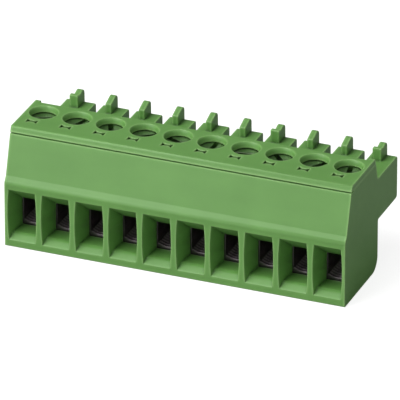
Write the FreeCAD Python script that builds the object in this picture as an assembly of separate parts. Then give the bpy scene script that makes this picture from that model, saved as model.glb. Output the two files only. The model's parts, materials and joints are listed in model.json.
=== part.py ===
import FreeCAD, Part
import math
import os

os.makedirs("parts", exist_ok=True)

V = FreeCAD.Vector

# How far a cut runs past its solid, and how far fused solids run into each other
OVERCUT = 1
MERGE = 0.1

# All lengths are in millimetres. X runs along the row of poles, Y from the wire side to the
# plug-in side, Z up. The origin is the middle of the base; depths below are from the front.

# Row of poles
POLES = 10
PITCH = 3.5
END_SKIN = 0.05
WIDTH = POLES * PITCH + 2 * END_SKIN
DEPTH = 14.1
EDGE_R = 0.16

# Clamp cage, drawn fully open, and the chamber round it
SCREW_D = 5.65
HEAD_R = 1.35
CAGE_FRONT = 2.8
CAGE_BACK = 1.45
CAGE_END_GAP = 0.15
CAGE_SIDE_GAP = 0.07
CAGE_BASE_GAP = 0.1
CAGE_D0 = SCREW_D - CAGE_FRONT
CAGE_D1 = SCREW_D + CAGE_BACK
CAGE_Z0 = 0.95
CAGE_Z1 = 7.3
CAGE_WALL = 0.36
CAGE_FLOOR = 0.8
CAGE_ROOF = 1.2
CAGE_DISH = 0.3
CAGE_SLOPE_D = SCREW_D - HEAD_R
CAGE_SLOPE_Z = 5.3
CHAMBER_W = 2.86
CHAMBER_D0 = CAGE_D0 - CAGE_END_GAP
CHAMBER_D1 = CAGE_D1 + CAGE_END_GAP
CHAMBER_FLOOR_Z = CAGE_Z0 - CAGE_BASE_GAP

# Outline of the body, seen from the end
LIP_Z = 6.8
LIP_R = 0.75
FACE_D = 0.42
FACE_Z = 7.4
SEAM_D = 1.6
SEAM_Z = 11.5
COVER_T = 0.6
TOP_Z = SEAM_Z + COVER_T
SEAM_GAP = 0.14
SEAM_GAP_D = 2.15
REAR_WALL_T = 0.35
DECK_REAR_D = CHAMBER_D1 + REAR_WALL_T
END_POST_OUT = 0.35
DECK_END_D = DECK_REAR_D + END_POST_OUT
END_POST_W = 0.55
BODY_BACK = 1.3
BODY_REAR_D = DECK_REAR_D + BODY_BACK
REAR_FILLET_R = 1.4

# Plug-in block behind the body
NOTCH_RUN = 1.1
BLOCK_FRONT_D = DECK_REAR_D + NOTCH_RUN
BLOCK_DROP = 1.85
BLOCK_TOP_Z = SEAM_Z - BLOCK_DROP
NOTCH_R = 0.45
BLOCK_INSET = 0.75
SLOT_OFFSET = 0.62
SLOT_W = 0.85
SLOT_SETBACK = 1.9
SLOT_FRONT_D = BLOCK_FRONT_D + SLOT_SETBACK
SLOT_DEEP = 2.65
SLOT_FLOOR_Z = BLOCK_TOP_Z - SLOT_DEEP
SOCKET_OFFSET = 0.45
SOCKET_W = 1.9
SOCKET_H = 2.45
SOCKET_ROOF = 1.15
SOCKET_Z1 = BLOCK_TOP_Z - SOCKET_ROOF
SOCKET_Z0 = SOCKET_Z1 - SOCKET_H
SOCKET_LEAD = 0.3
SOCKET_FLOOR = 0.8
BLOCK_LOW_Z = SOCKET_Z0 - SOCKET_FLOOR
BLOCK_CHAMFER = 0.14

# Coding fins on the block
FIN_OFFSET = 0.45
FIN_W = 0.62
FIN_LENGTH = 1.75
FIN_D = DEPTH - FIN_LENGTH
FIN_H = 1.6
FIN_Z = BLOCK_TOP_Z + FIN_H
FIN_FRONT_H = 1.0
FIN_FRONT_Z = BLOCK_TOP_Z + FIN_FRONT_H
FIN_REAR_R = 0.5
KEY_POLES = (1, 7, 10)
KEY_OUT = 0.28
KEY_LENGTH = 0.45
KEY_H = 1.3
KEY_Z = BLOCK_TOP_Z + KEY_H

# Wire funnel
MOUTH_W = 2.74
MOUTH_BOW = 0.13
MOUTH_Z0 = 0.76
MOUTH_Z1 = 6.13
THROAT_W = 2.1
THROAT_Z0 = 0.96
THROAT_Z1 = 4.1
THROAT_BOW = 0.02
THROAT_OVERLAP = 0.02
THROAT_D = CHAMBER_D0 + THROAT_OVERLAP
SILL_D = 0.8
SILL_H = 0.5
SILL_Z = MOUTH_Z0 + SILL_H
SILL_R = 0.9

# Screw
THREAD_R = 1.0
THREAD_GAP = 0.04
HEAD_H = 1.1
HEAD_PLAY = 0.07
TIP_GAP = 0.03
DRIVE_W = 0.5
DRIVE_DEPTH = 0.5
DRIVE_ANGLES = (24, 71, 112, 38, 155, 90, 8, 131, 57, 102)

# Contact strip
BAR_W = 1.76
BAR_Z = 4.4
BAR_T = 0.5
BAR_SETBACK = 0.45
BAR_D = CAGE_D0 + BAR_SETBACK
RISER_SETBACK = 0.25
RISER_D = CHAMBER_D1 + RISER_SETBACK
RISER_T = 0.4
RISER_X0 = -0.88
RISER_X1 = 1.2
CONTACT_GAP = 0.05
BLADE_T = 0.24
BLADE_Z_GAP = 0.45
BLADE_Z0 = SOCKET_Z0 + BLADE_Z_GAP
BLADE_Z1 = SOCKET_Z1 - BLADE_Z_GAP
BLADE_OUT = 0.68
BLADE_STRAIGHT = 1.0
BLADE_NIP = 0.3
BLADE_NIP_SETBACK = 1.5
BLADE_NIP_D = DEPTH - BLADE_NIP_SETBACK
BLADE_FLARE = 0.52
BLADE_END_SETBACK = 0.4
BLADE_END_D = DEPTH - BLADE_END_SETBACK

# Top cover
RIM_R = 0.22
HOLE_R = 1.43
HOLE_LOW_R = 1.26
TEST_SETBACK = 2.19
TEST_D = SCREW_D - TEST_SETBACK
TEST_OFFSET = -0.3
TEST_HALF_W = 0.55
TEST_HALF_L = 0.37
TEST_WAIST_X = 0.22
TEST_WAIST_Y = 0.16
TAB_W = 1.6
TAB_T = 0.3
TAB_LENGTH = 1.4
TAB_GAP = 0.02
TAB_INSET = 0.8
TAB_FRONT_D = SEAM_D + TAB_INSET
TAB_SETBACK = 0.31
TAB_REAR_D = CHAMBER_D1 + TAB_SETBACK
TAB_JOINTS = (-4, -1, 1, 4)


def at(depth):
    """Y of a depth counted from the front of the body."""
    return depth - DEPTH / 2


def pole_x(pole):
    """X of the middle of a pole, the first pole being number 1."""
    return (pole - (POLES + 1) / 2) * PITCH


def box(x0, x1, d0, d1, z0, z1):
    """Block between two X values, two depths and two heights."""
    return Part.makeBox(x1 - x0, d1 - d0, z1 - z0, V(x0, at(d0), z0))


def rounded_wire(corners, place):
    """Closed wire through (u, v, radius) corners, each rounded by its radius."""
    edges = []
    count = len(corners)
    ends = []
    for i in range(count):
        before = V(corners[i - 1][0], corners[i - 1][1], 0)
        here = V(corners[i][0], corners[i][1], 0)
        after = V(corners[(i + 1) % count][0], corners[(i + 1) % count][1], 0)
        radius = corners[i][2]
        back = (before - here).normalize()
        on = (after - here).normalize()
        half = math.acos(max(-1.0, min(1.0, back.dot(on)))) / 2
        if radius == 0:
            ends.append((here, here, here))
            continue
        reach = radius / math.tan(half)
        middle = here + (back + on).normalize() * (radius / math.sin(half))
        ends.append((here + back * reach, middle + (here - middle).normalize() * radius,
                     here + on * reach))
    for i in range(count):
        first, mid, last = [place(p.x, p.y) for p in ends[i]]
        if corners[i][2] > 0:
            edges.append(Part.Arc(first, mid, last).toShape())
        following = ends[(i + 1) % count][0]
        edges.append(Part.makeLine(last, place(following.x, following.y)))
    return Part.Wire(edges)


def side_prism(corners, x0, x1):
    """Solid whose outline is given in (depth, z, radius), running from x0 to x1."""
    wire = rounded_wire(corners, lambda d, z: V(x0, at(d), z))
    return Part.Face(wire).extrude(V(x1 - x0, 0, 0))


def bowed_window(width, z0, z1, bow, depth, x):
    """Closed wire of a window seen from the front, its sides bowed outward."""
    y = at(depth)
    x0 = x - width / 2
    x1 = x + width / 2
    middle = (z0 + z1) / 2
    return Part.Wire([
        Part.makeLine(V(x0, y, z0), V(x1, y, z0)),
        Part.Arc(V(x1, y, z0), V(x1 + bow, y, middle), V(x1, y, z1)).toShape(),
        Part.makeLine(V(x1, y, z1), V(x0, y, z1)),
        Part.Arc(V(x0, y, z1), V(x0 - bow, y, middle), V(x0, y, z0)).toShape(),
    ])


def square_window(width, z0, z1, depth, x):
    """Closed wire of a square-cornered window seen from the front."""
    y = at(depth)
    x0 = x - width / 2
    x1 = x + width / 2
    return Part.makePolygon([V(x0, y, z0), V(x1, y, z0), V(x1, y, z1), V(x0, y, z1), V(x0, y, z0)])


def rear_wall_depth(z, deck_rear):
    """Depth at a height of the slanted rear wall, whose upper edge is at the given depth."""
    return deck_rear + (BLOCK_FRONT_D - deck_rear) * (TOP_Z - z) / (TOP_Z - BLOCK_TOP_Z)


def front_face_depth(z):
    """Depth of the slanted front face at a height."""
    return FACE_D + (SEAM_D - FACE_D) * (z - FACE_Z) / (SEAM_Z - FACE_Z)


def body_blank():
    """The outer form of the moulded body with its plug-in block, without hollows."""
    outline = [
        (0, 0, EDGE_R),
        (0, LIP_Z, LIP_R),
        (FACE_D, FACE_Z, EDGE_R),
        (SEAM_D, SEAM_Z, 0),
        (rear_wall_depth(SEAM_Z, DECK_REAR_D), SEAM_Z, 0),
        (BLOCK_FRONT_D, BLOCK_TOP_Z, NOTCH_R),
        (DEPTH - BLOCK_CHAMFER, BLOCK_TOP_Z, 0),
        (DEPTH, BLOCK_TOP_Z - BLOCK_CHAMFER, 0),
        (DEPTH, BLOCK_LOW_Z, 2 * EDGE_R),
        (BODY_REAR_D, BLOCK_LOW_Z, EDGE_R),
        (BODY_REAR_D, 0, REAR_FILLET_R),
    ]
    return side_prism(outline, -WIDTH / 2, WIDTH / 2)


def end_posts(z0, z1):
    """Both end posts of the rear wall between two heights."""
    front = DECK_REAR_D - EDGE_R
    outline = [
        (front, z0, 0),
        (front, z1, 0),
        (rear_wall_depth(z1, DECK_END_D), z1, 0),
        (rear_wall_depth(z0, DECK_END_D), z0, 0),
    ]
    inner = WIDTH / 2 - END_POST_W
    return [side_prism(outline, -WIDTH / 2, -inner), side_prism(outline, inner, WIDTH / 2)]


def fin(pole):
    """One coding fin, with a wider front on the keyed poles."""
    x = pole_x(pole) + FIN_OFFSET
    root = BLOCK_TOP_Z - BLOCK_CHAMFER
    outline = [
        (FIN_D, root, 0),
        (DEPTH, root, 0),
        (DEPTH, FIN_Z, FIN_REAR_R),
        (FIN_D, FIN_FRONT_Z, 0),
    ]
    solid = side_prism(outline, x - FIN_W / 2, x + FIN_W / 2)
    if pole in KEY_POLES:
        key = box(x - FIN_W / 2 - KEY_OUT, x + FIN_W / 2, FIN_D, FIN_D + KEY_LENGTH, root, KEY_Z)
        solid = solid.fuse(key)
    return solid


def funnel(pole):
    """Tapered wire entry that ends in the front wall of the chamber."""
    x = pole_x(pole)
    mouth = bowed_window(MOUTH_W, MOUTH_Z0, MOUTH_Z1, MOUTH_BOW, 0, x)
    throat = bowed_window(THROAT_W, THROAT_Z0, THROAT_Z1, THROAT_BOW, THROAT_D, x)
    sill = side_prism([(0, 0, 0), (0, MOUTH_Z0, 0), (SILL_D, SILL_Z, SILL_R), (THROAT_D, SILL_Z, 0),
                       (THROAT_D, 0, 0)], x - PITCH / 2, x + PITCH / 2)
    return Part.makeLoft([mouth, throat], True, True).cut(sill)


def chamber(pole):
    """Hollow that holds the cage and the screw, open to the top cover."""
    x = pole_x(pole)
    half = CHAMBER_W / 2
    return box(x - half, x + half, CHAMBER_D0, CHAMBER_D1, CHAMBER_FLOOR_Z, SEAM_Z + OVERCUT)


def socket(pole):
    """Niche of the contact and the socket through the plug-in block."""
    x = pole_x(pole)
    niche_end = RISER_D + RISER_T
    niche = box(x + RISER_X0 - CONTACT_GAP, x + RISER_X1 + CONTACT_GAP, CHAMBER_D1 - MERGE, niche_end,
                BAR_Z, SOCKET_Z1)
    middle = x + SOCKET_OFFSET
    bore = box(middle - SOCKET_W / 2, middle + SOCKET_W / 2, niche_end - MERGE, DEPTH + OVERCUT, SOCKET_Z0,
               SOCKET_Z1)
    lead = SOCKET_LEAD
    wide = square_window(SOCKET_W + 2 * lead, SOCKET_Z0 - lead, SOCKET_Z1 + lead, DEPTH, middle)
    narrow = square_window(SOCKET_W, SOCKET_Z0, SOCKET_Z1, DEPTH - lead, middle)
    return [niche, bore, Part.makeLoft([narrow, wide], True, True)]


def block_slot(joint):
    """Slot between two neighbouring parts of the plug-in block."""
    x = joint * PITCH + SLOT_OFFSET
    return box(x - SLOT_W / 2, x + SLOT_W / 2, SLOT_FRONT_D, DEPTH + OVERCUT, SLOT_FLOOR_Z,
               FIN_Z + OVERCUT)


def tabs(gap):
    """Both rows of tabs that stand down from the top cover, or their pockets with a gap."""
    half_w = TAB_W / 2 + gap
    half_t = TAB_T / 2 + gap
    low = SEAM_Z - TAB_LENGTH - gap
    return [box(joint * PITCH - half_w, joint * PITCH + half_w, d - half_t, d + half_t, low, SEAM_Z)
            for joint in TAB_JOINTS for d in (TAB_FRONT_D, TAB_REAR_D)]


def make_housing():
    """The one-piece green moulding."""
    posts = end_posts(BLOCK_TOP_Z + NOTCH_R, SEAM_Z)
    solid = body_blank().fuse(posts + [fin(p) for p in range(1, POLES + 1)]).removeSplitter()
    left = -WIDTH / 2
    hollows = [box(left - OVERCUT, left + BLOCK_INSET, BLOCK_FRONT_D, DEPTH + OVERCUT, 0, TOP_Z),
               box(-WIDTH, WIDTH, 0, SEAM_GAP_D, SEAM_Z - SEAM_GAP, TOP_Z)]
    for pole in range(1, POLES + 1):
        hollows.append(funnel(pole))
        hollows += socket(pole)
        hollows.append(chamber(pole))
    for joint in range(1 - POLES // 2, POLES // 2):
        hollows.append(block_slot(joint))
    hollows += tabs(TAB_GAP)
    return solid.cut(hollows)


def screw_hole(pole):
    """Hole above a screw, narrower below so that the head stays under the cover."""
    x = pole_x(pole)
    y = at(SCREW_D)
    return Part.makeCone(HOLE_LOW_R, HOLE_R, TOP_Z - SEAM_Z, V(x, y, SEAM_Z))


def test_slot(pole):
    """Bow-tie opening for a test probe."""
    x = pole_x(pole) + TEST_OFFSET
    y = at(TEST_D)
    w, l, a, b = TEST_HALF_W, TEST_HALF_L, TEST_WAIST_X, TEST_WAIST_Y
    plan = [(-w, -l), (-a, -b), (a, -b), (w, -l), (w, l), (a, b), (-a, b), (-w, l)]
    points = [V(x + u, y + v, SEAM_Z) for u, v in plan]
    return Part.Face(Part.makePolygon(points + points[:1])).extrude(V(0, 0, TOP_Z - SEAM_Z))


def make_cover():
    """The top cover strip with its screw holes, test slots and tabs."""
    outline = [
        (SEAM_D, SEAM_Z, 0),
        (front_face_depth(TOP_Z), TOP_Z, RIM_R),
        (DECK_REAR_D, TOP_Z, EDGE_R),
        (rear_wall_depth(SEAM_Z, DECK_REAR_D), SEAM_Z, 0),
    ]
    solid = side_prism(outline, -WIDTH / 2, WIDTH / 2)
    solid = solid.fuse(end_posts(SEAM_Z, TOP_Z) + tabs(0)).removeSplitter()
    hollows = []
    for pole in range(1, POLES + 1):
        hollows.append(screw_hole(pole))
        hollows.append(test_slot(pole))
    return solid.cut(hollows)


def make_cage(pole):
    """Clamp cage: a bent sleeve with a dished floor and a threaded roof."""
    x = pole_x(pole)
    half = CHAMBER_W / 2 - CAGE_SIDE_GAP
    side = [
        (CAGE_D0, CAGE_Z0, 0),
        (CAGE_D1, CAGE_Z0, 0),
        (CAGE_D1, CAGE_Z1, 0),
        (CAGE_SLOPE_D, CAGE_Z1, 0),
        (CAGE_D0, CAGE_SLOPE_Z, 0),
    ]
    block = side_prism(side, x - half, x + half)
    inner = half - CAGE_WALL
    floor_z = CAGE_Z0 + CAGE_FLOOR
    roof_z = CAGE_Z1 - CAGE_ROOF
    y = at(CAGE_D0 - OVERCUT)
    corners = [V(x + inner, y, floor_z), V(x + inner, y, roof_z), V(x - inner, y, roof_z),
               V(x - inner, y, floor_z)]
    dish = Part.Arc(corners[3], V(x, y, floor_z - CAGE_DISH), corners[0]).toShape()
    window = Part.Wire([dish] + [Part.makeLine(corners[i], corners[i + 1]) for i in range(3)])
    passage = Part.Face(window).extrude(V(0, CAGE_D1 - CAGE_D0 + 2 * OVERCUT, 0))
    thread = Part.makeCylinder(THREAD_R, CAGE_ROOF + 2 * OVERCUT, V(x, at(SCREW_D), roof_z - OVERCUT))
    return block.cut([passage, thread])


def make_screw(pole):
    """Slotted clamping screw; its tip stands on the contact bar."""
    x = pole_x(pole)
    tip_z = BAR_Z + BAR_T + TIP_GAP
    head_top = SEAM_Z - HEAD_PLAY
    head_low = head_top - HEAD_H
    shank_r = THREAD_R - THREAD_GAP
    outline = [
        (0, tip_z),
        (shank_r, tip_z),
        (shank_r, head_low),
        (HEAD_R, head_low),
        (HEAD_R, head_top),
        (0, head_top),
        (0, tip_z),
    ]
    y = at(SCREW_D)
    face = Part.Face(Part.makePolygon([V(x + r, y, z) for r, z in outline]))
    solid = face.revolve(V(x, y, 0), V(0, 0, 1), 360)
    drive = Part.makeBox(4 * HEAD_R, DRIVE_W, DRIVE_DEPTH + OVERCUT,
                         V(x - 2 * HEAD_R, y - DRIVE_W / 2, head_top - DRIVE_DEPTH))
    drive.rotate(V(x, y, 0), V(0, 0, 1), DRIVE_ANGLES[pole - 1])
    return solid.cut(drive)


def blade(x, side):
    """One spring blade of the socket, pinching towards the middle near its end."""
    root = RISER_D + RISER_T
    line = [(BLADE_OUT, root - MERGE), (BLADE_OUT, root + BLADE_STRAIGHT), (BLADE_NIP, BLADE_NIP_D),
            (BLADE_FLARE, BLADE_END_D)]
    inner = [(u - BLADE_T / 2, d) for u, d in line]
    outer = [(u + BLADE_T / 2, d) for u, d in reversed(line)]
    points = [V(x + side * u, at(d), BLADE_Z0) for u, d in inner + outer]
    return Part.Face(Part.makePolygon(points + points[:1])).extrude(V(0, 0, BLADE_Z1 - BLADE_Z0))


def make_contact(pole):
    """Contact strip: the bar in the cage, the riser behind it and the socket spring."""
    x = pole_x(pole)
    bar = box(x - BAR_W / 2, x + BAR_W / 2, BAR_D, RISER_D + RISER_T, BAR_Z, BAR_Z + BAR_T)
    riser = box(x + RISER_X0, x + RISER_X1, RISER_D, RISER_D + RISER_T, BAR_Z, BLADE_Z1)
    spring = [blade(x + SOCKET_OFFSET, side) for side in (-1, 1)]
    return bar.fuse([riser] + spring).removeSplitter()


def main():
    make_housing().exportStep("parts/housing.step")
    make_cover().exportStep("parts/top_cover.step")
    for pole in range(1, POLES + 1):
        make_cage(pole).exportStep(f"parts/clamp_cage_{pole}.step")
        make_screw(pole).exportStep(f"parts/clamp_screw_{pole}.step")
        make_contact(pole).exportStep(f"parts/contact_{pole}.step")


main()
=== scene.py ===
"""Looks of a ten-pole pluggable terminal block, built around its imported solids."""

import json
import logging
import math
from dataclasses import dataclass
from enum import Enum
from typing import Any, Optional

import bmesh
import bpy
from mathutils import Matrix, Vector

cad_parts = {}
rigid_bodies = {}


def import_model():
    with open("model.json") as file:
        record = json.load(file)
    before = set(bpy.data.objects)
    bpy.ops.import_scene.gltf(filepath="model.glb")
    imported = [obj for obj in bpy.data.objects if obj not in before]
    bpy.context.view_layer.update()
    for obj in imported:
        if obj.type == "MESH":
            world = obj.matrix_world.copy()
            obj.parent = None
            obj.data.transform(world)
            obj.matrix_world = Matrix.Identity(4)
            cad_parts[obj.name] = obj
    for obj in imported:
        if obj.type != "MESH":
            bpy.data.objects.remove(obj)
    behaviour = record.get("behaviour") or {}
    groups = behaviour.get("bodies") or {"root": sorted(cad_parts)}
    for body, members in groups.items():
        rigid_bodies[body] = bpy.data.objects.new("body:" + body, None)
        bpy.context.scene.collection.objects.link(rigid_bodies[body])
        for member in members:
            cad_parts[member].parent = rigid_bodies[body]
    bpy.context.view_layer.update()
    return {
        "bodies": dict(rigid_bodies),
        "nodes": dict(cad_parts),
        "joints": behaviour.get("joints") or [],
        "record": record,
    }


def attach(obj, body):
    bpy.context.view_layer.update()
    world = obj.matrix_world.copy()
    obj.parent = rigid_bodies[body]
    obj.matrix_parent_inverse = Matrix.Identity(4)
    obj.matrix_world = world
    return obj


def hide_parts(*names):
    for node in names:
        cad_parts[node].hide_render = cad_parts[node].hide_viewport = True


LOG = logging.getLogger("terminal_block")
MM = 0.001


def linear(hex_colour: str) -> tuple[float, float, float, float]:
    """Turns an sRGB hex colour into linear light.

    Args:
        hex_colour: six hex digits, with or without a leading hash.

    Returns:
        Red, green, blue and an alpha of 1.
    """
    digits = hex_colour.lstrip("#")
    parts = [int(digits[i:i + 2], 16) / 255 for i in (0, 2, 4)]
    r, g, b = [c / 12.92 if c <= 0.04045 else ((c + 0.055) / 1.055) ** 2.4 for c in parts]
    return (r, g, b, 1.0)


def add_node(tree: bpy.types.NodeTree, kind: str, values: Optional[dict[Any, Any]] = None,
             links: Optional[dict[Any, bpy.types.NodeSocket]] = None,
             **settings: Any) -> bpy.types.Node:
    """Adds one node with its settings, input values and incoming links.

    Args:
        tree: the node tree that gets the node.
        kind: the node's type name.
        values: input name or index to a value.
        links: input name or index to the output socket that feeds it.
        settings: attributes of the node itself.

    Returns:
        The new node.
    """
    node = tree.nodes.new(kind)
    for name, value in settings.items():
        setattr(node, name, value)
    for name, value in (values or {}).items():
        node.inputs[name].default_value = value
    for name, source in (links or {}).items():
        tree.links.new(source, node.inputs[name])
    return node


def add_mix(tree: bpy.types.NodeTree, low: Any, high: Any,
            share: bpy.types.NodeSocket) -> bpy.types.NodeSocket:
    """Adds a colour mix between two colours, each a hex string or an output socket.

    Args:
        tree: the node tree that gets the node.
        low: the colour at a share of 0.
        high: the colour at a share of 1.
        share: the output socket that gives the share.

    Returns:
        The mixed colour's output socket.
    """
    mix = add_node(tree, "ShaderNodeMix", None, {0: share}, data_type="RGBA")
    for index, colour in ((6, low), (7, high)):
        if isinstance(colour, str):
            mix.inputs[index].default_value = linear(colour)
        else:
            tree.links.new(colour, mix.inputs[index])
    return mix.outputs[2]


def new_material(name: str) -> tuple[bpy.types.Material, bpy.types.NodeTree]:
    """Makes an empty node material.

    Args:
        name: the material's name.

    Returns:
        The material and its cleared node tree.
    """
    material = bpy.data.materials.new(name)
    material.use_nodes = True
    material.node_tree.nodes.clear()
    return material, material.node_tree


class Plating(Enum):
    """Metal finishes of the parts inside the block: colour, deep colour, roughness.

    The zinc's faint green cast is a painted reflection of the green hole walls round the screw heads, the
    nickel is a little warm and is kept darker with a faint purple tint as painted shade for the deep
    chambers, the tin is pale.
    """

    # The green cast of the zinc is a painted reflection of the green hole walls.
    ZINC = ("a8ba9b", "8ba080", 0.28)
    # The dark, faintly purple nickel is painted shade for the deep chambers.
    NICKEL = ("a0969b", "81787d", 0.36)
    TIN = ("c9c8c2", "a9a9a4", 0.40)


@dataclass(frozen=True)
class MouldedPolyamide:
    """Green glass-free polyamide from a fine-spark-eroded mould.

    The eye sees a satin surface with very shallow grain, slight milky depth, a little cloudiness
    from the melt, thin edges painted paler as a painted highlight, and seams, slots and inner corners
    painted darker as painted shade.
    """

    name: str
    body: str = "6a9d50"
    deep: str = "63954a"
    # Pale green painted onto thin outer edges as a painted highlight.
    edge: str = "98c47c"
    # Dark green painted into seams, small slots and inner corners as painted shade.
    painted_nook_shade: str = "1f4016"
    ior: float = 1.53
    roughness: float = 0.43
    gloss_spread: tuple[float, float] = (-0.05, 0.07)
    cloud_mm: float = 5.0
    flow_mm: float = 1.2
    flow_stretch: tuple[float, float, float] = (0.12, 1.0, 1.0)
    flow_share: float = 0.35
    grain_mm: float = 0.16
    grain_depth_mm: float = 0.006
    # How far the painted shade in seams, slots and inner corners reaches.
    painted_shade_reach_mm: float = 0.65
    edge_mm: float = 0.26
    round_mm: float = 0.104
    milk_mm: float = 0.35
    milk_share: float = 0.12

    def build(self) -> bpy.types.Material:
        """Makes the material.

        Returns:
            The finished material.
        """
        material, tree = new_material(self.name)
        place = add_node(tree, "ShaderNodeTexCoord").outputs["Object"]
        # Cloudiness of the melt: patches a few millimetres across, as wide as a pole.
        cloud = add_node(tree, "ShaderNodeTexNoise", {"Scale": 1 / (self.cloud_mm * MM), "Detail": 3.0,
                                                      "Roughness": 0.55}, {"Vector": place})
        # Flow marks run along the row from the gate, about 1.2 mm apart and eight times as long.
        along = add_node(tree, "ShaderNodeMapping", {"Scale": self.flow_stretch}, {"Vector": place})
        flow = add_node(tree, "ShaderNodeTexNoise", {"Scale": 1 / (self.flow_mm * MM), "Detail": 2.0},
                        {"Vector": along.outputs[0]})
        # Spark-eroded grain is near 0.03 mm; it is drawn at 0.16 mm so that it shows.
        grain = add_node(tree, "ShaderNodeTexNoise", {"Scale": 1 / (self.grain_mm * MM), "Detail": 2.0,
                                                      "Roughness": 0.6}, {"Vector": place})
        mottled = add_node(tree, "ShaderNodeMath", {1: self.flow_share},
                           {0: flow.outputs["Fac"], 2: cloud.outputs["Fac"]}, operation="MULTIPLY_ADD")
        patch = add_node(tree, "ShaderNodeMapRange", {"From Min": 0.45, "From Max": 0.9},
                         {"Value": mottled.outputs[0]})
        wall = add_mix(tree, self.deep, self.body, patch.outputs[0])
        # Painted shade: seams, small slots and inner corners with a neighbour within 0.65 mm are painted
        # darker, towards a dark green, where shade falls.
        painted_nook_shade = add_node(tree, "ShaderNodeAmbientOcclusion", {"Distance": self.painted_shade_reach_mm * MM}, samples=6,
                        only_local=True)
        shade = add_node(tree, "ShaderNodeMapRange", {"From Min": 0.38, "From Max": 0.74,
                                                      "To Min": 1.0, "To Max": 0.0},
                         {"Value": painted_nook_shade.outputs["AO"]})
        wall = add_mix(tree, wall, self.painted_nook_shade, shade.outputs[0])
        # Painted highlight: within about a quarter of a millimetre of an outer edge the colour is painted
        # paler, standing in for light that gets through thin edges and catches on them.
        thin = add_node(tree, "ShaderNodeAmbientOcclusion", {"Distance": self.edge_mm * MM}, samples=6,
                        inside=True, only_local=True)
        pale = add_node(tree, "ShaderNodeMapRange", {"From Min": 0.94, "From Max": 0.45, "To Max": 0.8},
                        {"Value": thin.outputs["AO"]})
        colour = add_mix(tree, wall, self.edge, pale.outputs[0])
        smooth, rough = [self.roughness + change for change in self.gloss_spread]
        gloss = add_node(tree, "ShaderNodeMapRange", {"To Min": smooth, "To Max": rough},
                         {"Value": grain.outputs["Fac"]})
        # The mould's own corners are rounded a little, which softens the light on every edge.
        round_edge = add_node(tree, "ShaderNodeBevel", {"Radius": self.round_mm * MM}, samples=6)
        bump = add_node(tree, "ShaderNodeBump", {"Strength": 0.35, "Distance": self.grain_depth_mm * MM},
                        {"Height": grain.outputs["Fac"], "Normal": round_edge.outputs[0]})
        shader = add_node(tree, "ShaderNodeBsdfPrincipled",
                          {"IOR": self.ior, "Subsurface Weight": self.milk_share,
                           "Subsurface Scale": self.milk_mm * MM, "Subsurface Radius": (0.7, 1.0, 0.45)},
                          {"Base Color": colour, "Roughness": gloss.outputs[0],
                           "Normal": bump.outputs[0]})
        add_node(tree, "ShaderNodeOutputMaterial", None, {"Surface": shader.outputs[0]})
        return material


@dataclass(frozen=True)
class PlatedMetal:
    """Thin electroplated layer on a turned or pressed part.

    The eye sees a dull silver with fine marks of the tool along one direction and faint spots.
    """

    name: str
    plating: Plating
    stretch: tuple[float, float, float] = (1.0, 1.0, 1.0)
    gloss_spread: tuple[float, float] = (-0.08, 0.12)
    mark_mm: float = 0.12
    mark_depth_mm: float = 0.004
    spot_mm: float = 0.9
    edge_mm: float = 0.04

    def build(self) -> bpy.types.Material:
        """Makes the material.

        Returns:
            The finished material.
        """
        clear, deep, roughness = self.plating.value
        material, tree = new_material(self.name)
        place = add_node(tree, "ShaderNodeTexCoord").outputs["Object"]
        # Tool marks are 0.02 mm apart in life and are drawn at 0.12 mm so that they show.
        turned = add_node(tree, "ShaderNodeMapping", {"Scale": self.stretch}, {"Vector": place})
        marks = add_node(tree, "ShaderNodeTexNoise", {"Scale": 1 / (self.mark_mm * MM), "Detail": 3.0},
                         {"Vector": turned.outputs[0]})
        # Spots of the bath are just under a millimetre across.
        spots = add_node(tree, "ShaderNodeTexNoise", {"Scale": 1 / (self.spot_mm * MM), "Detail": 2.0},
                         {"Vector": place})
        colour = add_mix(tree, deep, clear, spots.outputs["Fac"])
        smooth, rough = [roughness + change for change in self.gloss_spread]
        gloss = add_node(tree, "ShaderNodeMapRange", {"To Min": smooth, "To Max": rough},
                         {"Value": marks.outputs["Fac"]})
        # Barrel plating rounds the edges to about 0.04 mm, which draws the thin glints there.
        soft = add_node(tree, "ShaderNodeBevel", {"Radius": self.edge_mm * MM}, samples=6)
        bump = add_node(tree, "ShaderNodeBump", {"Strength": 0.25, "Distance": self.mark_depth_mm * MM},
                        {"Height": marks.outputs["Fac"], "Normal": soft.outputs[0]})
        shader = add_node(tree, "ShaderNodeBsdfPrincipled", {"Metallic": 1.0},
                          {"Base Color": colour, "Roughness": gloss.outputs[0],
                           "Normal": bump.outputs[0]})
        add_node(tree, "ShaderNodeOutputMaterial", None, {"Surface": shader.outputs[0]})
        return material


@dataclass(frozen=True)
class PaleFloor:
    """Matt white studio sweep that keeps the shadow of the block."""

    colour: str = "a4a4a4"
    lift: float = 0.82

    def build(self) -> bpy.types.Material:
        """Makes the material.

        Returns:
            The finished material.
        """
        material, tree = new_material("studio_sweep")
        rays = add_node(tree, "ShaderNodeLightPath")
        lifted = add_node(tree, "ShaderNodeMath", {1: self.lift}, {0: rays.outputs["Is Camera Ray"]},
                          operation="MULTIPLY")
        matt = add_node(tree, "ShaderNodeBsdfDiffuse", {"Color": linear(self.colour)})
        glow = add_node(tree, "ShaderNodeEmission", {"Color": (1, 1, 1, 1)},
                        {"Strength": lifted.outputs[0]})
        both = add_node(tree, "ShaderNodeAddShader", None, {0: matt.outputs[0], 1: glow.outputs[0]})
        add_node(tree, "ShaderNodeOutputMaterial", None, {"Surface": both.outputs[0]})
        return material


def wear(piece: bpy.types.Object, material: bpy.types.Material) -> None:
    """Puts one material on all of a piece.

    Args:
        piece: the object that wears it.
        material: the material.
    """
    piece.data.materials.clear()
    piece.data.materials.append(material)
    piece.data.polygons.foreach_set("material_index", [0] * len(piece.data.polygons))


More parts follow.
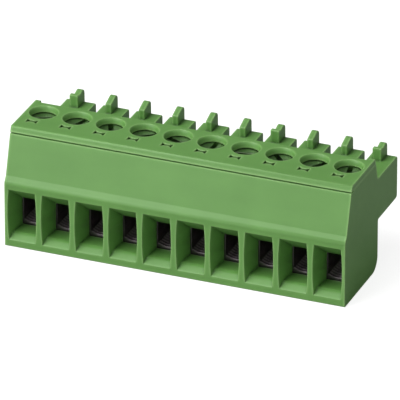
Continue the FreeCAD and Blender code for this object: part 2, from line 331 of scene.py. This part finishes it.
@dataclass
class MouldedShell:
    """The housing and the cover strip on it, with the soft edges of a mould, sizes in millimetres.

    The fins stand behind fin_y and above fin_z. The front seam lies between seam_low and seam_high,
    before seam_y.
    """

    nodes: tuple[str, ...] = ("housing", "top_cover")
    edge_r: float = 0.05
    edge_segments: int = 2
    edge_angle: float = 35.0
    fin_r: float = 0.13
    fin_segments: int = 3
    fin_y: float = 4.4
    fin_z: float = 9.6
    seam_low: float = 11.3
    seam_high: float = 11.56
    seam_y: float = -4.8
    merge: float = 0.0001
    flat_angle: float = 0.5

    def mark_edges(self, form: bmesh.types.BMesh) -> None:
        """Marks the sharp edges for the two roundings of the mould.

        The outer edges of the coding fins and their plates are rounded more, and the two lips of the
        front seam stay sharp, so that the seam keeps its full width.

        Args:
            form: the merged copy of the moulding.
        """
        fins = form.edges.layers.float.new("fin_edge")
        soft = form.edges.layers.float.new("soft_edge")
        for edge in form.edges:
            if edge.calc_face_angle(0.0) < math.radians(self.edge_angle):
                continue
            heights = [vert.co.z / MM for vert in edge.verts]
            depths = [vert.co.y / MM for vert in edge.verts]
            level = self.seam_low < min(heights) and max(heights) < self.seam_high
            seam = level and max(depths) < self.seam_y
            if edge.is_convex and max(heights) > self.fin_z and min(depths) > self.fin_y:
                edge[fins] = 1.0
            elif not seam:
                edge[soft] = 1.0

    def soften(self, node: bpy.types.Object, name: str,
               polyamide: bpy.types.Material) -> bpy.types.Object:
        """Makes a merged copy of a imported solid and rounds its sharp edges.

        Args:
            node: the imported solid's object.
            name: the new piece's name.
            polyamide: the material of the mouldings.

        Returns:
            The finished piece.
        """
        form = bmesh.new()
        form.from_mesh(node.data)
        form.transform(node.matrix_world)
        bmesh.ops.remove_doubles(form, verts=form.verts, dist=self.merge * MM)
        bmesh.ops.dissolve_limit(form, angle_limit=math.radians(self.flat_angle), verts=form.verts,
                                 edges=form.edges)
        self.mark_edges(form)
        mesh = bpy.data.meshes.new(name)
        form.to_mesh(mesh)
        form.free()
        piece = bpy.data.objects.new(name, mesh)
        bpy.context.collection.objects.link(piece)
        wear(piece, polyamide)
        for label, radius, segments in (("fin_edge", self.fin_r, self.fin_segments),
                                        ("soft_edge", self.edge_r, self.edge_segments)):
            bevel = piece.modifiers.new(label, "BEVEL")
            bevel.width = radius * MM
            bevel.segments = segments
            bevel.limit_method = "WEIGHT"
            bevel.edge_weight = label
            bevel.loop_slide = False
            bevel.harden_normals = label == "soft_edge"
        return piece

    def build(self, frame: dict[str, Any], polyamide: bpy.types.Material) -> None:
        """Puts a soft-edged moulding in the place of each packed one.

        Args:
            polyamide: the material of the mouldings.
        """
        for name in self.nodes:
            wear(frame["nodes"][name], polyamide)
            piece = self.soften(frame["nodes"][name], f"moulded_{name}", polyamide)
            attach(piece, "block")
            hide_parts(name)
            LOG.info("%s: %d faces before the edges", piece.name, len(piece.data.polygons))


def node_group(name: str, sizes: dict[str, float]) -> tuple[bpy.types.NodeTree, bpy.types.Node]:
    """Makes an empty geometry tree with a geometry input, named sizes and a material input.

    Args:
        name: the tree's name.
        sizes: name and default of each float input.

    Returns:
        The tree and its input node.
    """
    tree = bpy.data.node_groups.new(name, "GeometryNodeTree")
    tree.interface.new_socket("Geometry", in_out="INPUT", socket_type="NodeSocketGeometry")
    for label, default in sizes.items():
        socket = tree.interface.new_socket(label, in_out="INPUT", socket_type="NodeSocketFloat")
        socket.default_value = default
    tree.interface.new_socket("Material", in_out="INPUT", socket_type="NodeSocketMaterial")
    tree.interface.new_socket("Geometry", in_out="OUTPUT", socket_type="NodeSocketGeometry")
    return tree, add_node(tree, "NodeGroupInput")


def close_group(tree: bpy.types.NodeTree, entry: bpy.types.Node, shape: bpy.types.NodeSocket) -> None:
    """Ends a geometry tree in Realize Instances and Set Material.

    Args:
        tree: the geometry tree.
        entry: its input node, which has the material.
        shape: the output socket with the finished geometry.
    """
    real = add_node(tree, "GeometryNodeRealizeInstances", None, {"Geometry": shape})
    dressed = add_node(tree, "GeometryNodeSetMaterial", None,
                       {"Geometry": real.outputs[0], "Material": entry.outputs["Material"]})
    add_node(tree, "NodeGroupOutput", None, {0: dressed.outputs[0]})


def grow(name: str, base: bpy.types.Mesh, tree: bpy.types.NodeTree,
         values: dict[str, Any]) -> bpy.types.Object:
    """Runs a geometry tree on a base mesh and keeps the result as a plain mesh.

    Args:
        name: the piece's name.
        base: the mesh that the tree starts from.
        tree: the geometry tree.
        values: named inputs of the tree.

    Returns:
        The finished piece, without a modifier.
    """
    piece = bpy.data.objects.new(name, base)
    bpy.context.collection.objects.link(piece)
    modifier = piece.modifiers.new("grow", "NODES")
    modifier.node_group = tree
    keys = {item.name: item.identifier for item in tree.interface.items_tree if item.in_out == "INPUT"}
    for label, value in values.items():
        modifier[keys[label]] = value
    evaluated = piece.evaluated_get(bpy.context.evaluated_depsgraph_get())
    mesh = bpy.data.meshes.new_from_object(evaluated)
    mesh.name = name
    piece.modifiers.clear()
    piece.data = mesh
    wear(piece, values["Material"])
    return piece


def triangle_profile(tree: bpy.types.NodeTree, half: bpy.types.NodeSocket, foot: bpy.types.NodeSocket,
                     crest: bpy.types.NodeSocket) -> bpy.types.NodeSocket:
    """Adds a triangular section for a swept ridge, its crest away from the line it follows.

    Args:
        tree: the geometry tree.
        half: half the width of the foot.
        foot: how deep the foot is sunk.
        crest: how far the crest stands out.

    Returns:
        The closed section curve's output socket.
    """
    points = []
    for side, reach in ((-1.0, foot), (1.0, foot), (0.0, crest)):
        across = add_node(tree, "ShaderNodeMath", {1: side}, {0: half}, operation="MULTIPLY")
        sign = -1.0 if reach is foot else 1.0
        along = add_node(tree, "ShaderNodeMath", {1: sign}, {0: reach}, operation="MULTIPLY")
        points.append(add_node(tree, "ShaderNodeCombineXYZ", None,
                               {0: along.outputs[0], 1: across.outputs[0]}).outputs[0])
    corners = add_node(tree, "GeometryNodeCurvePrimitiveQuadrilateral", None,
                       {7: points[0], 8: points[1], 9: points[2], 10: points[2]}, mode="POINTS")
    return corners.outputs[0]


@dataclass
class ClampScrew:
    """Slotted screw with a flat head and a rolled thread, sizes in millimetres."""

    head_r: float = 1.35
    head_top: float = 11.43
    head_h: float = 1.1
    rim_r: float = 0.1
    core_r: float = 0.76
    crest_r: float = 0.95
    pitch: float = 0.4
    tip_z: float = 4.93
    slot_w: float = 0.5
    slot_depth: float = 0.5
    tip_chamfer: float = 0.25
    ridge_half_share: float = 0.42
    ridge_foot_share: float = 0.1
    segments: int = 72
    rim_steps: int = 6

    def outline(self) -> list[tuple[float, float]]:
        """Works out the section of the turned form.

        Returns:
            Radius and height of each corner, from the tip to the head's top.
        """
        low = self.head_top - self.head_h
        rim = self.rim_r
        angles = [math.radians(90 - 90 * i / self.rim_steps) for i in range(self.rim_steps + 1)]
        turn = [(self.head_r - rim + rim * math.sin(a), self.head_top - rim + rim * math.cos(a))
                for a in angles]
        return [(self.core_r - self.tip_chamfer, self.tip_z), (self.core_r, self.tip_z + self.tip_chamfer),
                (self.core_r, low), (self.head_r - rim / 2, low), (self.head_r, low + rim / 2)] + turn

    def turned(self, x: float, y: float) -> bpy.types.Mesh:
        """Turns the outline round the screw's axis.

        Args:
            x: the axis along the row, in millimetres.
            y: the axis across the row, in millimetres.

        Returns:
            A closed mesh.
        """
        form = bmesh.new()
        rings = []
        steps = [2 * math.pi * i / self.segments for i in range(self.segments)]
        for radius, z in self.outline():
            corners = [(x + radius * math.cos(a), y + radius * math.sin(a), z) for a in steps]
            rings.append([form.verts.new([value * MM for value in corner]) for corner in corners])
        for low, high in zip(rings, rings[1:]):
            for i in range(self.segments):
                j = (i + 1) % self.segments
                form.faces.new((low[i], low[j], high[j], high[i]))
        form.faces.new(list(reversed(rings[0])))
        form.faces.new(rings[-1])
        mesh = bpy.data.meshes.new("turned_screw")
        form.to_mesh(mesh)
        form.free()
        return mesh

    def cut_slot(self, mesh: bpy.types.Mesh, x: float, y: float, angle: float) -> bpy.types.Mesh:
        """Saws the driver slot into the head.

        Args:
            mesh: the turned screw.
            x: the axis along the row, in millimetres.
            y: the axis across the row, in millimetres.
            angle: the slot's direction in degrees.

        Returns:
            The slotted mesh.
        """
        saw = bmesh.new()
        bmesh.ops.create_cube(saw, size=1.0)
        place = (Matrix.Translation((x * MM, y * MM, self.head_top * MM))
                 @ Matrix.Rotation(math.radians(angle), 4, "Z")
                 @ Matrix.Diagonal((4 * self.head_r * MM, self.slot_w * MM, 2 * self.slot_depth * MM, 1)))
        saw.transform(place)
        blade_mesh = bpy.data.meshes.new("saw")
        saw.to_mesh(blade_mesh)
        saw.free()
        screw = bpy.data.objects.new("uncut", mesh)
        blade = bpy.data.objects.new("saw", blade_mesh)
        for item in (screw, blade):
            bpy.context.collection.objects.link(item)
        cut = screw.modifiers.new("slot", "BOOLEAN")
        cut.operation = "DIFFERENCE"
        cut.solver = "EXACT"
        cut.object = blade
        slotted = bpy.data.meshes.new_from_object(
            screw.evaluated_get(bpy.context.evaluated_depsgraph_get()))
        for item in (screw, blade):
            bpy.data.objects.remove(item)
        return slotted

    def thread_tree(self) -> bpy.types.NodeTree:
        """Makes the geometry tree that rolls a helical ridge round the shank and joins it to the screw.

        Returns:
            The tree.
        """
        tree, entry = node_group("rolled_thread", {"Core": 0.0, "Crest": 0.0, "Pitch": 0.0, "Low": 0.0,
                                                   "Turns": 0.0, "X": 0.0, "Y": 0.0})
        size = entry.outputs
        height = add_node(tree, "ShaderNodeMath", None, {0: size["Pitch"], 1: size["Turns"]},
                          operation="MULTIPLY")
        helix = add_node(tree, "GeometryNodeCurveSpiral", {"Resolution": 36},
                         {"Rotations": size["Turns"], "Start Radius": size["Core"],
                          "End Radius": size["Core"], "Height": height.outputs[0]})
        upright = add_node(tree, "GeometryNodeSetCurveNormal", None, {0: helix.outputs[0]}, mode="Z_UP")
        half = add_node(tree, "ShaderNodeMath", {1: self.ridge_half_share}, {0: size["Pitch"]},
                        operation="MULTIPLY")
        foot = add_node(tree, "ShaderNodeMath", {1: self.ridge_foot_share}, {0: size["Pitch"]},
                        operation="MULTIPLY")
        crest = add_node(tree, "ShaderNodeMath", None, {0: size["Crest"], 1: size["Core"]},
                         operation="SUBTRACT")
        section = triangle_profile(tree, half.outputs[0], foot.outputs[0], crest.outputs[0])
        ridge = add_node(tree, "GeometryNodeCurveToMesh", {"Fill Caps": True},
                         {"Curve": upright.outputs[0], "Profile Curve": section})
        spot = add_node(tree, "ShaderNodeCombineXYZ", None, {0: size["X"], 1: size["Y"], 2: size["Low"]})
        placed = add_node(tree, "GeometryNodeTransform", None,
                          {"Geometry": ridge.outputs[0], "Translation": spot.outputs[0]})
        joined = add_node(tree, "GeometryNodeJoinGeometry", None, {0: placed.outputs[0]})
        tree.links.new(size["Geometry"], joined.inputs[0])
        close_group(tree, entry, joined.outputs[0])
        return tree

    def build(self, name: str, x: float, y: float, angle: float, tree: bpy.types.NodeTree,
              finish: bpy.types.Material) -> bpy.types.Object:
        """Makes one screw.

        Args:
            name: the piece's name.
            x: the axis along the row, in millimetres.
            y: the axis across the row, in millimetres.
            angle: the slot's direction in degrees.
            tree: the thread's geometry tree.
            finish: the screw's material.

        Returns:
            The finished piece.
        """
        base = self.cut_slot(self.turned(x, y), x, y, angle)
        base.materials.clear()
        base.materials.append(finish)
        low = self.tip_z + self.tip_chamfer
        turns = (self.head_top - self.head_h - low) / self.pitch - 1
        return grow(name, base, tree, {"Core": self.core_r * MM, "Crest": self.crest_r * MM,
                                       "Pitch": self.pitch * MM, "Low": low * MM, "Turns": turns,
                                       "X": x * MM, "Y": y * MM, "Material": finish})


@dataclass
class CageRibs:
    """Grip ribs pressed across the dished floor of a clamp cage, sizes in millimetres."""

    dish_r: float = 1.8167
    dish_z: float = 3.2667
    half_angle: float = 31.0
    first_y: float = -4.1
    last_y: float = -0.5
    count: int = 9
    half_w: float = 0.08
    height: float = 0.05

    def tree(self) -> bpy.types.NodeTree:
        """Makes the geometry tree that repeats one arched rib along the cage floor.

        Returns:
            The tree.
        """
        tree, entry = node_group("grip_ribs", {"Radius": 0.0, "Half Angle": 0.0, "Half Width": 0.0,
                                               "Height": 0.0, "X": 0.0, "Z": 0.0, "First Y": 0.0,
                                               "Step": 0.0, "Count": 0.0})
        size = entry.outputs
        start = add_node(tree, "ShaderNodeMath", {0: -math.pi / 2}, {1: size["Half Angle"]},
                         operation="SUBTRACT")
        sweep = add_node(tree, "ShaderNodeMath", {1: 2.0}, {0: size["Half Angle"]}, operation="MULTIPLY")
        arc = add_node(tree, "GeometryNodeCurveArc", {"Resolution": 20},
                       {"Radius": size["Radius"], "Start Angle": start.outputs[0],
                        "Sweep Angle": sweep.outputs[0]}, mode="RADIUS")
        level = add_node(tree, "GeometryNodeSetCurveNormal", None, {0: arc.outputs[0]}, mode="Z_UP")
        section = triangle_profile(tree, size["Half Width"], size["Height"], size["Height"])
        rib = add_node(tree, "GeometryNodeCurveToMesh", {"Fill Caps": True},
                       {"Curve": level.outputs[0], "Profile Curve": section})
        place = add_node(tree, "ShaderNodeCombineXYZ", None,
                         {0: size["X"], 1: size["First Y"], 2: size["Z"]})
        step = add_node(tree, "ShaderNodeCombineXYZ", None, {1: size["Step"]})
        line = add_node(tree, "GeometryNodeMeshLine", None,
                        {"Count": size["Count"], "Start Location": place.outputs[0],
                         "Offset": step.outputs[0]})
        tilt = add_node(tree, "ShaderNodeCombineXYZ", {0: math.pi / 2})
        row = add_node(tree, "GeometryNodeInstanceOnPoints", None,
                       {"Points": line.outputs[0], "Instance": rib.outputs[0], "Rotation": tilt.outputs[0]})
        close_group(tree, entry, row.outputs[0])
        return tree

    def build(self, name: str, x: float, tree: bpy.types.NodeTree,
              finish: bpy.types.Material) -> bpy.types.Object:
        """Makes the ribs of one cage.

        Args:
            name: the piece's name.
            x: the middle of the pole, in millimetres.
            tree: the ribs' geometry tree.
            finish: the cage's material.

        Returns:
            The finished piece.
        """
        step = (self.last_y - self.first_y) / (self.count - 1)
        return grow(name, bpy.data.meshes.new(name), tree,
                    {"Radius": self.dish_r * MM, "Half Angle": math.radians(self.half_angle),
                     "Half Width": self.half_w * MM, "Height": self.height * MM, "X": x * MM,
                     "Z": self.dish_z * MM, "First Y": self.first_y * MM, "Step": step * MM,
                     "Count": float(self.count), "Material": finish})


@dataclass
class ClampRow:
    """The ten screws, cages and contact strips in the chambers."""

    poles: int = 10
    pitch: float = 3.5
    screw_y: float = -1.4
    slot_angles: tuple[int, ...] = (24, 71, 112, 38, 155, 90, 8, 131, 57, 102)

    def build(self, frame: dict[str, Any], screw: bpy.types.Material, cage: bpy.types.Material,
              contact: bpy.types.Material) -> None:
        """Makes the detailed metal parts and gives all of them their materials.

        Args:
            screw: the material of the screws.
            cage: the material of the cages.
            contact: the material of the contact strips.
        """
        pattern, ribs = ClampScrew(), CageRibs()
        thread, rib_tree = pattern.thread_tree(), ribs.tree()
        for pole in range(1, self.poles + 1):
            x = (pole - (self.poles + 1) / 2) * self.pitch
            piece = pattern.build(f"turned_screw_{pole}", x, self.screw_y, self.slot_angles[pole - 1],
                                  thread, screw)
            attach(piece, f"screw_{pole}")
            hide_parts(f"clamp_screw_{pole}")
            grip = ribs.build(f"cage_ribs_{pole}", x, rib_tree, cage)
            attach(grip, f"cage_{pole}")
            wear(frame["nodes"][f"clamp_cage_{pole}"], cage)
            wear(frame["nodes"][f"contact_{pole}"], contact)
            LOG.info("pole %d: %d screw faces, %d rib faces", pole, len(piece.data.polygons),
                     len(grip.data.polygons))


@dataclass(frozen=True)
class SoftLamp:
    """One square lamp that faces the block: direction in degrees, side in metres, power in watts."""

    name: str
    azimuth: float
    elevation: float
    size: float
    power: float


@dataclass
class Studio:
    """Floor, soft lamps, world and camera, distances in metres."""

    azimuth: float = 21.81
    elevation: float = 26.67
    distance: float = 0.70
    lens: float = 651.6
    target: tuple[float, float, float] = (-0.000835, 0.001908, 0.003867)
    floor_size: float = 1.6
    world_level: float = 0.28
    mirror_level: float = 0.16
    lamp_distance: float = 0.6
    lamps: tuple[SoftLamp, ...] = (SoftLamp("key", -38, 24, 0.45, 2.0),
                                   SoftLamp("overhead", -44, 66, 0.4, 2.25),
                                   SoftLamp("fill", 30, 10, 0.5, 0.44))

    def direction(self, azimuth: float, elevation: float) -> Vector:
        """Unit vector from the block towards a place given by two angles in degrees."""
        a, e = math.radians(azimuth), math.radians(elevation)
        return Vector((math.sin(a) * math.cos(e), -math.cos(a) * math.cos(e), math.sin(e)))

    def place_camera(self) -> None:
        """Makes the camera at the viewing angle of the photograph."""
        data = bpy.data.cameras.new("camera")
        data.lens = self.lens
        data.clip_start, data.clip_end = 0.01, 10.0
        camera = bpy.data.objects.new("camera", data)
        back = self.direction(self.azimuth, self.elevation)
        camera.location = Vector(self.target) + back * self.distance
        camera.rotation_mode = "QUATERNION"
        camera.rotation_quaternion = (-back).to_track_quat("-Z", "Y")
        bpy.context.collection.objects.link(camera)
        bpy.context.scene.camera = camera

    def hang(self, lamp: SoftLamp) -> None:
        """Hangs one soft lamp so that it faces the block.

        Args:
            lamp: the lamp's place, size and power.
        """
        data = bpy.data.lights.new(lamp.name, "AREA")
        data.shape = "SQUARE"
        data.size = lamp.size
        data.energy = lamp.power
        holder = bpy.data.objects.new(lamp.name, data)
        back = self.direction(lamp.azimuth, lamp.elevation)
        holder.location = back * self.lamp_distance
        holder.rotation_mode = "QUATERNION"
        holder.rotation_quaternion = (-back).to_track_quat("-Z", "Y")
        bpy.context.collection.objects.link(holder)

    def set_world(self) -> None:
        """Makes an even pale world that shows white to the camera and stays dimmer in what is glossy."""
        world = bpy.data.worlds.new("studio_world")
        bpy.context.scene.world = world
        world.use_nodes = True
        tree = world.node_tree
        tree.nodes.clear()
        rays = add_node(tree, "ShaderNodeLightPath")
        dim = add_node(tree, "ShaderNodeMapRange",
                       {"To Min": self.world_level, "To Max": self.mirror_level},
                       {"Value": rays.outputs["Is Glossy Ray"]})
        level = add_node(tree, "ShaderNodeMath", None,
                         {0: dim.outputs[0], 1: rays.outputs["Is Camera Ray"]}, operation="MAXIMUM")
        glow = add_node(tree, "ShaderNodeBackground", {"Color": (1, 1, 1, 1)},
                        {"Strength": level.outputs[0]})
        add_node(tree, "ShaderNodeOutputWorld", None, {"Surface": glow.outputs[0]})

    def lay_floor(self) -> None:
        """Lays the floor under the block."""
        mesh = bpy.data.meshes.new("floor")
        half = self.floor_size / 2
        mesh.from_pydata([(-half, -half, 0), (half, -half, 0), (half, half, 0), (-half, half, 0)], [],
                         [(0, 1, 2, 3)])
        floor = bpy.data.objects.new("floor", mesh)
        bpy.context.collection.objects.link(floor)
        wear(floor, PaleFloor().build())

    def build(self) -> None:
        """Makes the whole studio."""
        self.place_camera()
        self.lay_floor()
        self.set_world()
        for lamp in self.lamps:
            self.hang(lamp)
        bpy.context.scene.view_settings.view_transform = "Standard"
        LOG.info("studio ready")


def main() -> None:
    """Builds the dressed block in its studio."""
    logging.basicConfig(level=logging.INFO, format="%(message)s")
    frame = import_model()
    Studio().build()
    MouldedShell().build(frame, MouldedPolyamide("moulded_green_polyamide").build())
    ClampRow().build(frame, PlatedMetal("zinc_plated_screw", Plating.ZINC).build(),
                     PlatedMetal("nickel_plated_cage", Plating.NICKEL, (1.0, 0.15, 1.0)).build(),
                     PlatedMetal("tin_plated_contact", Plating.TIN, (1.0, 0.1, 1.0)).build())


if __name__ == "__main__":
    main()
